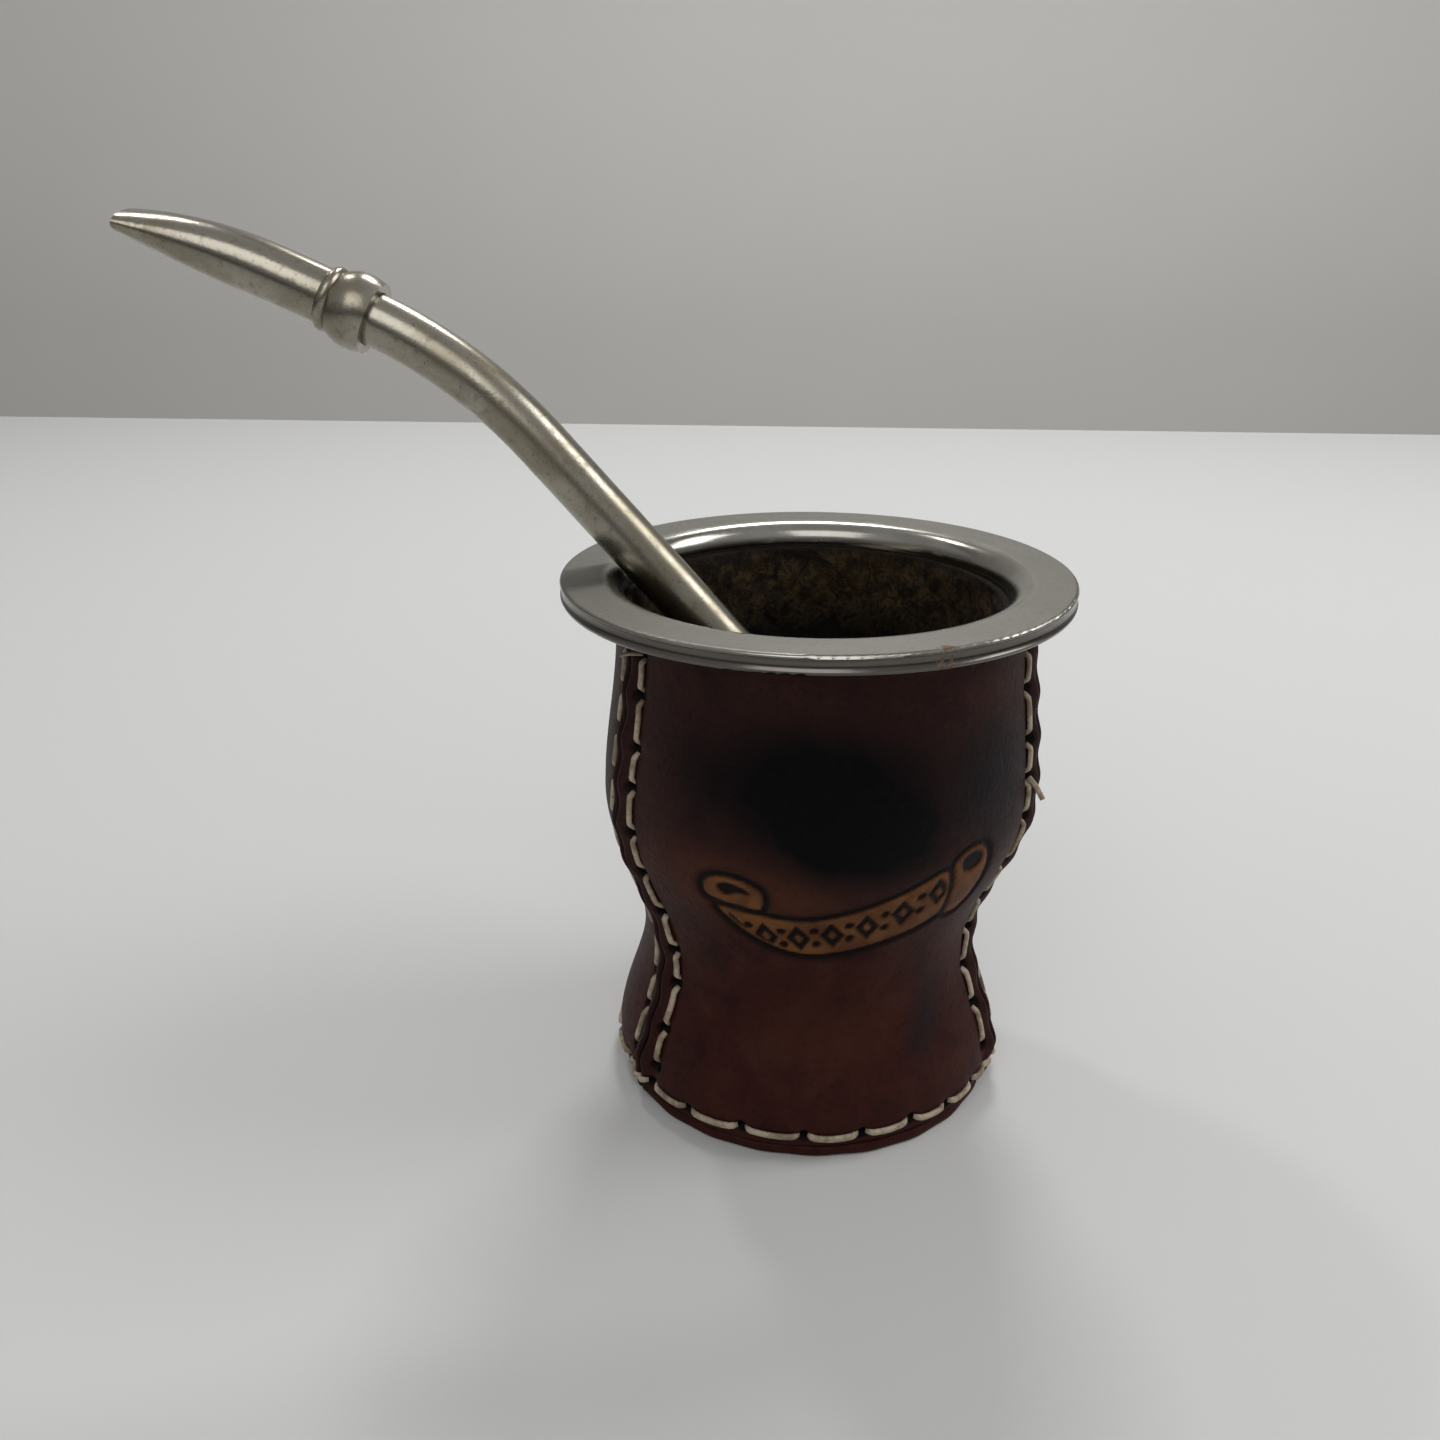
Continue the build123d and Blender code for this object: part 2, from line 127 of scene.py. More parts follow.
class Finish:
    """One material: its nodes are made by node(), and its principled shader takes the results."""

    def __init__(self, name, **uniform):
        self.material = bpy.data.materials.new(name)
        self.material.use_nodes = True
        self.tree = self.material.node_tree
        self.shader = self.tree.nodes["Principled BSDF"]
        for socket, value in uniform.items():
            self.shader.inputs[socket.replace("_", " ")].default_value = value

    def node(self, kind, settings, *values, out=0, **named):
        """Add a node: its settings first, then the values or links of its sockets."""
        made = self.tree.nodes.new(kind)
        for key, value in settings.items():
            setattr(made, key, value)
        pairs = list(enumerate(values)) + list(named.items())
        for key, value in pairs:
            self._feed(made.inputs[key], value)
        return Wire(self, made.outputs[out])

    def _feed(self, socket, value):
        if value is None:
            return
        if isinstance(value, Wire):
            self.tree.links.new(value.socket, socket)
        else:
            socket.default_value = value

    def place(self):
        """Position on the object, in millimetres."""
        spot = self.node("ShaderNodeTexCoord", {}, out=3)
        return self.node("ShaderNodeVectorMath", {"operation": "MULTIPLY"}, spot, (1 / MM,) * 3)

    def parts(self, vector):
        made = self.tree.nodes.new("ShaderNodeSeparateXYZ")
        self._feed(made.inputs[0], vector)
        return [Wire(self, made.outputs[i]) for i in range(3)]

    def noise(self, vector, scale, detail=3.0, rough=0.5, warp=0.0):
        return self.node("ShaderNodeTexNoise", {}, vector, Scale=scale, Detail=detail,
                         Roughness=rough, Distortion=warp)

    def cells(self, vector, scale):
        return self.node("ShaderNodeTexVoronoi", {}, vector, Scale=scale)

    def mix(self, share, first, second):
        """Colour mix, second over first by share."""
        made = self.tree.nodes.new("ShaderNodeMix")
        made.data_type = "RGBA"
        self._feed(made.inputs[0], share)
        self._feed(made.inputs[6], first)
        self._feed(made.inputs[7], second)
        return Wire(self, made.outputs[2])

    def painted(self, name):
        """A value stored on the mesh's points."""
        return self.node("ShaderNodeAttribute", {"attribute_name": name}, out=2)

    def bump(self, height, distance, strength=1.0, under=None):
        return self.node("ShaderNodeBump", {}, Strength=strength, Distance=distance * MM,
                         Height=height, Normal=under)

    def give(self, **sockets):
        for name, value in sockets.items():
            self._feed(self.shader.inputs[name.replace("_", " ")], value)
        return self.material


# ---------------------------------------------------------------- leather shape, millimetres
def blend(z, low, high):
    """Radius at height z on a half cosine between two (z, r) stations."""
    share = (1 - np.cos(math.pi * (z - low[0]) / (high[0] - low[0]))) / 2
    return low[1] + (high[1] - low[1]) * share


def leather_r(z):
    """Outer radius of the cover, before seams and unevenness."""
    z = np.asarray(z, float)
    tuck = HEM[1] - HEM_TUCK * (np.clip(HEM[0] - z, 0, None) / (HEM[0] - SOLE_TOP)) ** 2
    r = np.where(z < HEM[0], tuck, blend(z, HEM, WAIST))
    r = np.where(z > WAIST[0], blend(z, WAIST, BELLY), r)
    r = np.where(z > BELLY[0], blend(z, BELLY, NECK), r)
    return np.where(z > NECK[0], NECK[1], r)


def lean(z):
    """Sideways drift of the hand-made cover with height."""
    return 1.0 * smooth(z, 30, 56) - 0.35 * smooth(z, 8, 26) * (1 - smooth(z, 30, 50))


def smooth(x, low, high):
    t = np.clip((np.asarray(x, float) - low) / (high - low), 0, 1)
    return t * t * (3 - 2 * t)


def wave(azimuth, z, seed):
    """Slow seeded unevenness around the body, about -1 to 1."""
    rng = np.random.default_rng(seed)
    total = 0.0
    a = np.radians(azimuth)
    for _ in range(7):
        turns, rise = rng.integers(1, 6), rng.uniform(-0.16, 0.16)
        total = total + rng.uniform(0.4, 1.0) * np.sin(turns * a + rise * z + rng.uniform(0, TAU))
    return total / 3.0


def seam_azimuth(seam, z):
    """Azimuth of a seam line at height z, degrees from the front towards +X."""
    z = np.asarray(z, float)
    if seam == "left":
        return -59.3 + 6.3 * smooth(z, 50, 26) - 2.5 * smooth(z, 18, 3)
    if seam == "right":
        return 75.0 + 1.5 * np.exp(-((z - 30) / 9) ** 2)
    return 188.0 + 0.8 * np.sin(z / 11)


SEAMS = ("left", "right", "back")


def seam_holes(seam, side):
    """Azimuth and height of one stitch row's holes, from the hem to the rim."""
    rng = np.random.default_rng(11 + 3 * SEAMS.index(seam) + side)
    z = ROW_LOW_Z + (ROW_HIGH_Z - ROW_LOW_Z) * np.arange(HOLES_PER_ROW) / (HOLES_PER_ROW - 1)
    z[1:-1] += rng.uniform(-0.7, 0.7, HOLES_PER_ROW - 2)
    off_seam = ROW_OFFSET + rng.uniform(-0.35, 0.35, HOLES_PER_ROW)
    turns = [math.degrees(off / leather_r(h)) for h, off in zip(z, off_seam)]
    return [(seam_azimuth(seam, h) + side * turn, h) for h, turn in zip(z, turns)]


def hem_holes():
    """The hem's holes; those at the front are punched a little unevenly."""
    holes = []
    for k in range(HEM_COUNT):
        drift = 5.5 * max(0.0, math.sin(math.pi * (k - 2.2) / 6.2)) if k <= 8 else 0.0
        holes.append((-66.4 + 360 * k / HEM_COUNT + drift, HEM_HOLE_Z + 0.3 * math.sin(2.4 * k)))
    return holes


ROWS = {(seam, side): seam_holes(seam, side) for seam in SEAMS for side in (-1, 1)}
HEM_ROW = hem_holes()
ALL_HOLES = [hole for row in ROWS.values() for hole in row] + HEM_ROW


def turn_gap(azimuth, other):
    """Signed difference of two azimuths, degrees."""
    return (azimuth - other + 180) % 360 - 180


def cover_r(azimuth, z, holes=True):
    """Outer radius of the stitched leather: seam ridges, puckers, holes and hand-made unevenness."""
    base = leather_r(z)
    r = base + 0.28 * wave(azimuth, z, 5)
    for seam in SEAMS:
        d = turn_gap(azimuth, seam_azimuth(seam, z)) * base * TAU / 360
        fade = 1 - 0.5 * smooth(z, 74, 82)
        pucker = 1 + 0.22 * np.cos(TAU * (z - 9) / 7.1 + 1.3 * SEAMS.index(seam))
        r = r + 1.25 * fade * pucker * np.exp(-(d / 2.5) ** 2)
        r = r - 0.95 * np.exp(-(np.abs(d) / 0.42) ** 1.5)
        r = r - 0.42 * np.exp(-((np.abs(d) - ROW_OFFSET) / 0.95) ** 2)
    hem = np.exp(-((z - HEM_HOLE_Z + 0.6) / 1.1) ** 2)
    r = r - 0.35 * hem * smooth(z, 2.0, 3.0)
    if holes:
        for hole_a, hole_z in ALL_HOLES:
            across = turn_gap(azimuth, hole_a) * base * TAU / 360
            near = np.hypot(across, z - hole_z)
            punched = 1 - smooth(near, HOLE_R * 0.6, HOLE_R * 1.15)
            r = r - 1.25 * punched - 0.18 * np.exp(-(near / 1.9) ** 2)
    return r


def cover_point(azimuth, z, lift=0.0, holes=False):
    """Point on the cover, raised by lift."""
    a = np.radians(azimuth)
    r = cover_r(azimuth, z, holes) + lift
    return np.stack([lean(z) + r * np.sin(a), -r * np.cos(a), np.asarray(z, float) + 0 * r], -1)


# ---------------------------------------------------------------- mesh helpers
def make_mesh(name, points, faces, material, replaced=()):
    """A mesh piece in metres from millimetre points; it rides on the one body."""
    mesh = bpy.data.meshes.new(name)
    mesh.from_pydata((np.asarray(points) * MM).tolist(), [], [tuple(f) for f in faces])
    mesh.update()
    mesh.shade_smooth()
    mesh.materials.append(material)
    piece = bpy.data.objects.new(name, mesh)
    bpy.context.collection.objects.link(piece)
    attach(piece, "root")
    for node in replaced:
        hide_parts(node)
    return piece


def grid_faces(rows, cols, wrap=False):
    i, j = np.meshgrid(np.arange(rows - 1), np.arange(cols if wrap else cols - 1), indexing="ij")
    a, b = i * cols + j, i * cols + (j + 1) % cols
    return np.stack([a, b, b + cols, a + cols], -1).reshape(-1, 4)


def store(piece, name, values):
    """Keep one value per mesh point, for the material to read."""
    attribute = piece.data.attributes.new(name, "FLOAT", "POINT")
    attribute.data.foreach_set("value", np.asarray(values, np.float32).ravel())


def apply_modifiers(piece):
    depsgraph = bpy.context.evaluated_depsgraph_get()
    mesh = bpy.data.meshes.new_from_object(piece.evaluated_get(depsgraph))
    piece.modifiers.clear()
    piece.data = mesh


def lathe(name, outline, material, turns, shift, replaced=()):
    """Closed turned mesh from an (r, z) outline that starts and ends on the axis."""
    outline = np.asarray(outline, float)
    azimuth = np.arange(turns) * 360 / turns
    ring = outline[1:-1]
    r, z = ring[:, 0][:, None], ring[:, 1][:, None]
    r = r + shift(azimuth[None, :], z, r)
    a = np.radians(azimuth)[None, :]
    points = np.stack([r * np.sin(a), -r * np.cos(a), z + 0 * a], -1).reshape(-1, 3)
    first, last = len(points), len(points) + 1
    points = np.vstack([points, [[0, 0, outline[0, 1]], [0, 0, outline[-1, 1]]]])
    faces = grid_faces(len(ring), turns, wrap=True).tolist()
    tail = (len(ring) - 1) * turns
    for j in range(turns):
        faces.append([first, (j + 1) % turns, j])
        faces.append([last, tail + j, tail + (j + 1) % turns])
    return make_mesh(name, points, faces, material, replaced)


# ---------------------------------------------------------------- tooled ribbon on the front panel
# Drawn flat: x is millimetres round the waist from the front line, z is height.
RIBBON_R = 32.4
RIBBON_BODY = [(-15.4, 44.6), (-13.2, 41.8), (-9.6, 38.8), (-5.0, 36.4), (0.4, 35.2), (7.0, 36.0),
               (13.4, 37.7), (18.3, 39.3), (22.0, 41.4), (21.4, 46.5), (19.9, 51.3), (15.0, 49.1),
               (10.0, 46.8), (5.2, 45.0), (0.6, 43.7), (-3.2, 43.5), (-6.8, 44.0)]
RIBBON_CURL = [(-16.9, 46.6), (-16.3, 49.2), (-13.4, 50.5), (-9.7, 50.2), (-6.9, 48.8), (-6.5, 46.4),
               (-6.9, 44.1), (-11.5, 44.6), (-15.6, 45.0)]
CURL_EYE = [(-14.2, 47.9), (-12.6, 48.9), (-9.9, 48.4), (-8.9, 47.4), (-11.0, 47.6), (-12.6, 46.6)]
RIBBON_TAIL = [(19.9, 51.3), (22.2, 53.1), (25.6, 53.6), (27.7, 51.6), (28.6, 47.2), (27.4, 42.4),
               (25.0, 40.1), (22.2, 40.6), (22.0, 41.4), (21.4, 46.5)]
TAIL_EYE = [(22.0, 51.2), (24.2, 52.2), (26.3, 51.2), (26.0, 49.4), (24.0, 48.8), (22.6, 49.4)]


def rounded(points, rounds=2):
    """Corner-cutting that rounds a closed outline."""
    points = np.asarray(points, float)
    for _ in range(rounds):
        following = np.roll(points, -1, axis=0)
        cut = [0.78 * points + 0.22 * following, 0.22 * points + 0.78 * following]
        points = np.stack(cut, 1).reshape(-1, 2)
    return points


def outline_distance(points, x, z):
    """Signed distance to a closed outline, negative inside."""
    best = np.full(x.shape, 1e9)
    inside = np.zeros(x.shape, bool)
    for (ax, az), (bx, bz) in zip(points, np.roll(points, -1, axis=0)):
        ex, ez = bx - ax, bz - az
        t = np.clip(((x - ax) * ex + (z - az) * ez) / (ex * ex + ez * ez + 1e-9), 0, 1)
        best = np.minimum(best, np.hypot(x - ax - t * ex, z - az - t * ez))
        crosses = (az > z) != (bz > z)
        at = ax + (z - az) * ex / np.where(abs(ez) < 1e-9, 1e-9, ez)
        inside ^= crosses & (x < at)
    return np.where(inside, -best, best)


def ribbon_middle(x):
    """Height of the ribbon's middle line, for its row of ornaments."""
    return 39.55 + 0.13 * x + 0.0125 * x * x + 0.0004 * np.clip(-x, 0, None) ** 3


def ribbon_marks(x, z):
    """Tan fill, burnt line and burnt shade of the ribbon, each 0 to 1."""
    parts = [outline_distance(rounded(p), x, z) for p in (RIBBON_BODY, RIBBON_CURL, RIBBON_TAIL)]
    whole = np.minimum.reduce(parts)
    fill = 1 - smooth(whole, -0.25, 0.1)
    line = np.zeros(x.shape)
    for part in parts:
        line = np.maximum(line, 1 - smooth(np.abs(part), 0.35, 0.72))
    for eye in (CURL_EYE, TAIL_EYE):
        line = np.maximum(line, 1 - smooth(outline_distance(rounded(eye), x, z), 0.0, 0.4))
    line = np.maximum(line, ornaments(x, z) * (1 - smooth(parts[0], -1.1, -0.7)))
    shade = (1 - smooth(np.abs(whole), 0.4, 1.9)) * 0.75
    return fill, line, shade


def ornaments(x, z):
    """A plain border of lozenges between pairs of dots, cut along the ribbon's middle."""
    pitch, first, count = 5.1, -11.6, 7
    mark = np.zeros(x.shape)
    for k in range(count):
        cx = first + pitch * k
        cz = ribbon_middle(cx)
        lean_x = (x - cx) + 0.22 * (z - cz)
        lozenge = np.abs(lean_x) / 2.0 + np.abs(z - cz) / 2.9
        mark = np.maximum(mark, (1 - smooth(lozenge, 0.9, 1.06)) * smooth(lozenge, 0.28, 0.44))
        if k < count - 1:
            dot_x = cx + pitch / 2
            for rise in (-1.45, 1.45):
                gap = np.hypot(x - dot_x + 0.22 * rise, z - ribbon_middle(dot_x) - rise)
                mark = np.maximum(mark, 1 - smooth(gap, 0.62, 0.86))
    return mark


# ---------------------------------------------------------------- finishes
def leather_finish(name, ribbon=False):
    """Antiqued brown leather: near-black dye clouds that also carry a painted shadow of the rim high up,
    golden rubs, red-brown foot, fine grain.
    """
    f = Finish(name, Specular_IOR_Level=0.08)
    p = f.place()
    x, y, z = f.parts(p)
    soft = f.noise(p, 0.045, 3.0, 0.55, 0.6)
    blotch = f.noise(p, 0.13, 4.0, 0.6, 0.4)
    fine = f.noise(p, 0.9, 3.0, 0.6)
    grain = f.cells(p, 1.5)
    ragged = (soft - 0.5) * 34 + (blotch - 0.5) * 16

    def patch(at_x, at_z, wide, tall, front=-1.0):
        """Soft ragged spot on one side of the cup, 1 in its middle."""
        off_x, off_z = (x - at_x) / wide, (z - at_z) / tall
        reach = (off_x * off_x + off_z * off_z) ** 0.5 + ragged * 0.022
        return (1 - reach.step(0.15, 1.25)) * (1 - (y * -front).step(-8, 6))
    # Near-black clouds: dye patches, whose high patches under the rim also hold a painted shadow of the
    # rim.
    cloud_and_rim_shadow = (patch(2, 65, 30, 14) + patch(10, 56, 14, 9) * 0.7 + patch(-4, 60, 27, 12, 1.0) * 0.8).clamp()
    gold = (patch(-13, 47, 13, 9) + patch(-2, 46, 12, 6) * 0.7 + patch(6, 22, 14, 8) * 0.45).clamp()
    blue = (patch(28, 61, 9, 13) * 0.8 + patch(19, 21, 3.5, 10) * 0.6).clamp()
    low = 1 - z.step(30, 52)
    base = f.mix(low, srgb(50, 27, 24), srgb(52, 23, 19))
    base = f.mix((blotch.step(0.5, 0.68) * 0.45).clamp(), base, srgb(24, 12, 13))
    base = f.mix((gold * (0.75 + blotch * 0.4)).clamp(), base, srgb(68, 36, 23))
    base = f.mix((blotch.step(0.5, 0.34) * 0.35).clamp(), base, srgb(66, 37, 28))
    base = f.mix(blue, base, srgb(28, 24, 28))
    # Near-black dye clouds together with the painted shadow of the rim.
    base = f.mix((cloud_and_rim_shadow * 1.05).clamp(), base, srgb(3, 2, 4))
    base = f.mix((fine.step(0.5, 0.75) * 0.35).clamp(), base, srgb(16, 8, 8))
    worn = f.painted("edge")
    base = f.mix(worn * 0.6, base, srgb(24, 12, 11))
    if ribbon:
        fill, line, shade = f.painted("ribbon_fill"), f.painted("ribbon_line"), f.painted("ribbon_shade")
        tan = f.mix(blotch.step(0.35, 0.65), srgb(108, 70, 40), srgb(80, 49, 30))
        base = f.mix(shade * 0.7, base, srgb(16, 8, 7))
        base = f.mix(fill, base, tan)
        base = f.mix(line, base, srgb(14, 7, 6))
    # Painted shade: the stitch holes and a thin ring round them turn near-black.
    base = f.mix(f.painted("hole"), base, srgb(2, 1, 1))
    pebble = f.bump(grain, 0.06, 0.6)
    creased = f.bump(fine * 0.7 + blotch * 0.8, 0.2, 0.6, under=pebble)
    rough = 0.52 - cloud_and_rim_shadow * 0.06 + (fine - 0.5) * 0.2
    return f.give(Base_Color=base, Roughness=rough.clamp(), Normal=creased)


def calabash_finish():
    """Dry calabash: mottled brown skin near the mouth; the black hollow lower down and the dark strip just
    under the rim are painted shade.
    """
    f = Finish("calabash", Specular_IOR_Level=0.15)
    p = f.place()
    z = f.parts(p)[2]
    fibre = f.noise(p, 0.8, 5.0, 0.65, 1.2)
    mottle = f.noise(p, 0.22, 4.0, 0.6, 1.2)
    base = f.mix(fibre.step(0.36, 0.68), srgb(34, 25, 15), srgb(74, 58, 36))
    base = f.mix(mottle.step(0.46, 0.62) * 0.85, base, srgb(20, 15, 10))
    # Painted shade: the hollow turns near-black below a wavy line.
    hollow_shade = 1 - (z + (mottle - 0.5) * 34).step(67, 75)
    base = f.mix((hollow_shade * 0.95).clamp(), base, srgb(6, 5, 4))
    # Painted shadow of the rim's lip on the wall just below it.
    rim_lip_shadow = z.step(80, 84) * 0.8
    base = f.mix(rim_lip_shadow, base, srgb(12, 9, 7))
    rough = 0.85 + (fibre - 0.5) * 0.2
    return f.give(Base_Color=base, Roughness=rough.clamp(), Normal=f.bump(fibre + mottle, 0.6, 0.8))


def rim_finish():
    """Satin sheet steel: brushed flat, smoother rolled mouth, outer band darkened as a painted reflection
    of the dark room, scuffs, a rust speck.
    """
    f = Finish("rim_steel", Metallic=1.0)
    p = f.place()
    x, y, z = f.parts(p)
    reach = (x * x + y * y) ** 0.5
    around = f.node("ShaderNodeCombineXYZ", {}, reach * 6.0, z * 6.0, 0.0)
    rings = f.noise(around, 1.0, 3.0, 0.7)
    scuff = f.noise(p, 1.3, 4.0, 0.7, 0.5)
    patch = f.noise(p, 0.11, 3.0, 0.55)
    flat = z.step(RIM_TOP - 0.25, RIM_TOP - 0.05) * reach.step(32.4, 34.0)
    below_edge = 1 - z.step(RIM_TOP - 0.8, RIM_TOP - 0.5)
    above_bead = z.step(RIM_LOW + 0.25, RIM_LOW + 0.6)
    band_painted_reflection = below_edge * above_bead * reach.step(38.4, 39.0)
    base = f.mix(patch.step(0.35, 0.65), srgb(160, 157, 150), srgb(146, 143, 136))
    base = f.mix(flat * 0.85, base, srgb(106, 104, 98))
    base = f.mix(scuff.step(0.5, 0.72) * flat * 0.5, base, srgb(82, 79, 73))
    # The outer band's darker colour is a painted reflection of the dark room in front.
    base = f.mix(band_painted_reflection * 0.85, base, srgb(84, 78, 74))
    near_x, near_y = x - 17.5, y + 35.9
    beside = 1 - ((near_x * near_x + near_y * near_y) ** 0.5).step(0.8, 1.9)
    rust = (f.noise(p, 1.5, 2.0, 0.5).step(0.47, 0.55) * beside).clamp()
    base = f.mix(rust * 0.8, base, srgb(92, 62, 32))
    rough = 0.2 + flat * 0.22 + (rings - 0.5) * 0.14 + (scuff - 0.5) * 0.12 + rust * 0.4
    brushed = f.bump(rings, 0.012, 0.6)
    uneven = f.bump(patch, 0.3, 0.15, under=brushed)
    return f.give(Base_Color=base, Roughness=rough.clamp(), Metallic=1.0 - rust * 0.7, Normal=uneven)


def straw_finish(name, dull):
    """Nickel silver with a thin yellow tarnish, grey handling stains and small pits."""
    f = Finish(name, Metallic=1.0)
    p = f.place()
    stain = f.noise(p, 0.1, 3.0, 0.55, 0.6)
    spots = f.noise(p, 0.6, 3.0, 0.6)
    pits = f.noise(p, 2.6, 2.0, 0.5)
    base = f.mix(stain.step(0.38, 0.62), srgb(154, 149, 137), srgb(138, 131, 115))
    base = f.mix(spots.step(0.54, 0.72) * 0.5, base, srgb(104, 96, 82))
    base = f.mix(pits.step(0.64, 0.72) * 0.6, base, srgb(74, 66, 56))
    rough = 0.2 + dull + stain.step(0.4, 0.65) * 0.07 + (spots - 0.5) * 0.12
    wavy = f.bump(stain, 0.4, 0.15)
    return f.give(Base_Color=base, Roughness=rough.clamp(), Normal=f.bump(pits, 0.03, 0.5, under=wavy))


def thread_finish():
    """Waxed cream thread with twisted plies and grime."""
    f = Finish("thread", Specular_IOR_Level=0.25)
    p = f.place()
    ply = f.noise(p, 1.8, 3.0, 0.7)
    grime = f.noise(p, 0.3, 3.0, 0.6)
    base = f.mix(grime.step(0.42, 0.64), srgb(172, 158, 138), srgb(128, 112, 92))
    base = f.mix(ply.step(0.52, 0.7) * 0.6, base, srgb(92, 78, 62))
    rough = 0.55 + (ply - 0.5) * 0.3
    return f.give(Base_Color=base, Roughness=rough.clamp(), Normal=f.bump(ply, 0.12, 0.7))


# ---------------------------------------------------------------- pieces
# panel: first seam, last seam, degrees added to the last one to keep going round
PANELS = {"front": ("left", "right", 0),
          "back_right": ("right", "back", 0),
          "back_left": ("back", "left", 360)}
GRID = 0.38                 # spacing of a panel's mesh
SEAM_GAP = 0.1              # from a panel's edge to the seam line


def make_panel(name, first, last, wrap, material):
    """One sewn leather panel as a thick closed sheet."""
    z = np.linspace(SOLE_TOP + 0.03, LEATHER_TOP, int((LEATHER_TOP - SOLE_TOP) / GRID))
    gap = np.degrees(SEAM_GAP / leather_r(z))
    start = seam_azimuth(first, z) + gap
    end = seam_azimuth(last, z) + wrap - gap
    columns = int(math.radians(float(np.mean(end - start))) * BELLY[1] / GRID)
    share = np.linspace(0, 1, columns)[None, :]
    azimuth = start[:, None] + (end - start)[:, None] * share
    heights = np.repeat(z[:, None], columns, axis=1)
    points = cover_point(azimuth, heights, 0.0, holes=True)
    x = azimuth * TAU / 360 * RIBBON_R
    fill, line, shade = ribbon_marks(x, heights) if name == "front" else (0 * x, 0 * x, 0 * x)
    cut = 0.32 * line + 0.05 * shade
    a = np.radians(azimuth)
    points = points - np.stack([np.sin(a), -np.cos(a), 0 * a], -1) * cut[..., None]
    piece = make_mesh("leather_panel_" + name, points.reshape(-1, 3), grid_faces(len(z), columns), material,
                      ["leather_" + name])
    near = np.full(x.shape, 9.0)
    base = leather_r(heights)
    for hole_a, hole_z in ALL_HOLES:
        near = np.minimum(near, np.hypot(turn_gap(azimuth, hole_a) * base * TAU / 360, heights - hole_z))
    from_edge = np.minimum(share, 1 - share) * (end - start)[:, None]
    side = from_edge * base * TAU / 360
    # The hole value marks where painted shade fills the stitch holes.
    store(piece, "hole", 1 - smooth(near, HOLE_R * 1.05, HOLE_R * 1.45))
    store(piece, "edge", 1 - smooth(side, 0.2, 3.2))
    store(piece, "ribbon_fill", fill)
    store(piece, "ribbon_line", line)
    store(piece, "ribbon_shade", shade)
    thick = piece.modifiers.new("thickness", "SOLIDIFY")
    thick.thickness = PANEL_T * MM
    thick.offset = -1
    apply_modifiers(piece)
    return piece


def ribbon_loop(path, outward, width, thick, corners=10):
    """Points round a flat thread's section at each step of its path."""
    path = np.asarray(path)
    along = np.gradient(path, axis=0)
    along /= np.linalg.norm(along, axis=1)[:, None]
    across = np.cross(along, outward)
    across /= np.linalg.norm(across, axis=1)[:, None]
    up = np.cross(across, along)
    turn = np.arange(corners) * TAU / corners
    flat = np.sign(np.cos(turn)) * np.abs(np.cos(turn)) ** 0.7 * width / 2
    tall = np.sign(np.sin(turn)) * np.abs(np.sin(turn)) ** 0.7 * thick / 2
    return path[:, None] + across[:, None] * flat[None, :, None] + up[:, None] * tall[None, :, None]


def stitch_mesh(start, end, rng, bow=0.0):
    """One stitch: out of a hole, along the leather, into the next hole."""
    steps = 18
    t = np.linspace(0, 1, steps)
    (a0, z0), (a1, z1) = start, end
    a1 = a0 + turn_gap(a1, a0)
    span = math.hypot(math.radians(a1 - a0) * float(leather_r(z0)), z1 - z0)
    inset = STITCH_INSET / span
    t_in = inset + (1 - 2 * inset) * t
    azimuth = a0 + (a1 - a0) * t_in + rng.uniform(-0.35, 0.35) * np.sin(math.pi * t)
    z = z0 + (z1 - z0) * t_in + (bow + rng.uniform(-0.12, 0.12)) * np.sin(math.pi * t)
    dive = np.exp(-(np.minimum(t, 1 - t) * span / 0.5) ** 2)
    lift = 0.34 - 0.8 * dive + 0.12 * np.sin(math.pi * t)
    path = cover_point(azimuth, z, lift)
    a = np.radians(azimuth)
    outward = np.stack([np.sin(a), -np.cos(a), 0 * a], -1)
    return ribbon_loop(path, outward, THREAD_W * rng.uniform(0.82, 0.98), THREAD_T * 1.2)


def joined_loops(loops):
    """Points and faces of capped tubes from their section loops."""
    points, faces, base = [], [], 0
    for loop in loops:
        steps, corners = loop.shape[:2]
        points.append(loop.reshape(-1, 3))
        faces += (grid_faces(steps, corners, wrap=True) + base).tolist()
        faces.append([base + j for j in range(corners)][::-1])
        faces.append([base + (steps - 1) * corners + j for j in range(corners)])
        base += steps * corners
    return np.vstack(points), faces


def make_thread(name, holes, material, replaced, bow=0.0, extra=(), closed=False):
    """One row of stitches from hole to hole, joined into one piece."""
    rng = np.random.default_rng(len(name) * 7 + 3)
    pairs = list(zip(holes, holes[1:] + holes[:1])) if closed else list(zip(holes, holes[1:]))
    loops = [stitch_mesh(a, b, rng, bow) for a, b in pairs] + list(extra)
    points, faces = joined_loops(loops)
    return make_mesh(name, points, faces, material, [replaced])


def thread_tail(start, bends, outward):
    """A loose thread end: a soft curve through a few points."""
    points = np.array([start] + bends, float)
    t = np.linspace(0, len(points) - 1, 16)
    path = np.stack([np.interp(t, np.arange(len(points)), points[:, k]) for k in range(3)], -1)
    path[1:-1] = (path[:-2] + 2 * path[1:-1] + path[2:]) / 4
    return ribbon_loop(path, np.tile(outward, (len(path), 1)), THREAD_W * 0.75, THREAD_T * 0.8)


